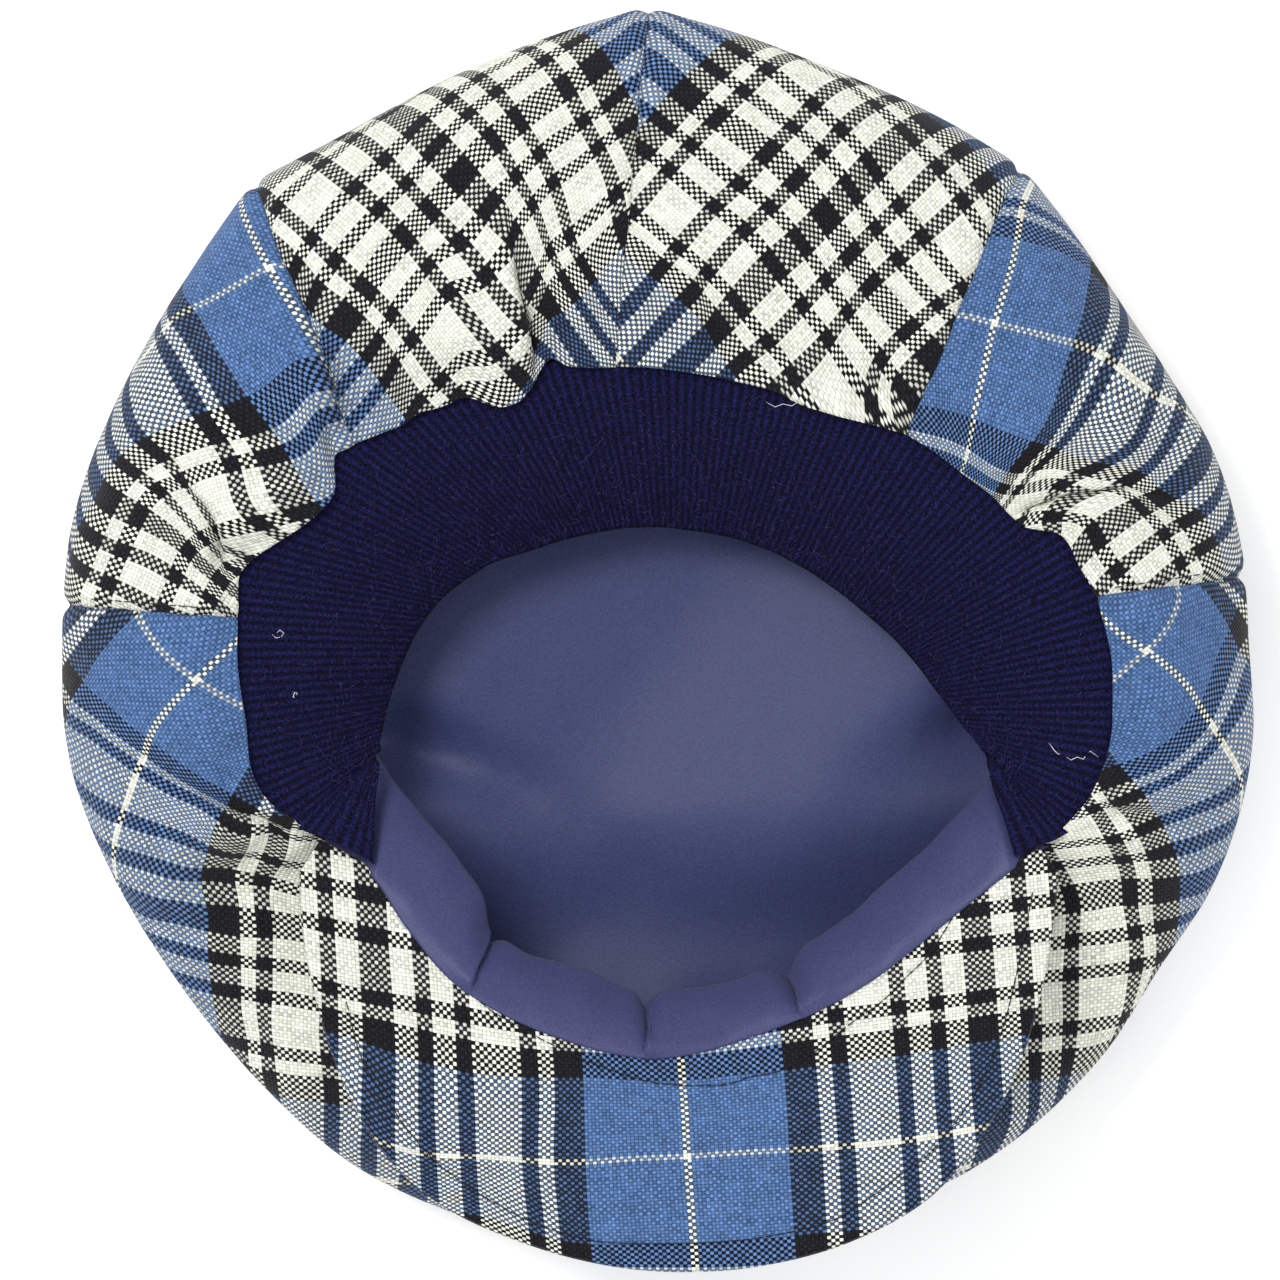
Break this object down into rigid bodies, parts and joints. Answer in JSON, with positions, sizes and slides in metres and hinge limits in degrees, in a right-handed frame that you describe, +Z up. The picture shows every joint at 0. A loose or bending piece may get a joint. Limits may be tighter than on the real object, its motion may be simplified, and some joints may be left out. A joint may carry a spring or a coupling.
{
  "type": "flat cap",
  "caption": "Soft flat cap of plaid cloth with a wide gathered crown, a short stiff peak, a knitted ear band, a lining and a satin sweatband.",
  "frame": {"origin": "middle of the cap seen from above, on the surface that its crown lies on", "axes": "+Z up, out of the opening; the peak points along -Y, the back of the cap along +Y; +X is to the right of the picture"},
  "size_m": [0.2748, 0.2919, 0.0862],
  "materials": {
    "plaid_cloth": "plain weave plaid of cream, black and blue threads, matt",
    "knit": "fine one-by-one rib knit, dark navy, matt and slightly hairy",
    "lining_cloth": "smooth slate blue lining with a soft sheen",
    "satin": "blue violet satin strip with a soft gloss"
  },
  "bodies": {
    "root": {"front_panel": "plaid_cloth", "rear_side_panel_right": "plaid_cloth", "rear_panel_right": "plaid_cloth", "rear_panel_left": "plaid_cloth", "rear_side_panel_left": "plaid_cloth", "peak_under_cover": "plaid_cloth", "peak_top_cover": "plaid_cloth", "knit_ear_band": "knit", "lining": "lining_cloth", "satin_sweatband": "satin"}
  },
  "joints": []
}
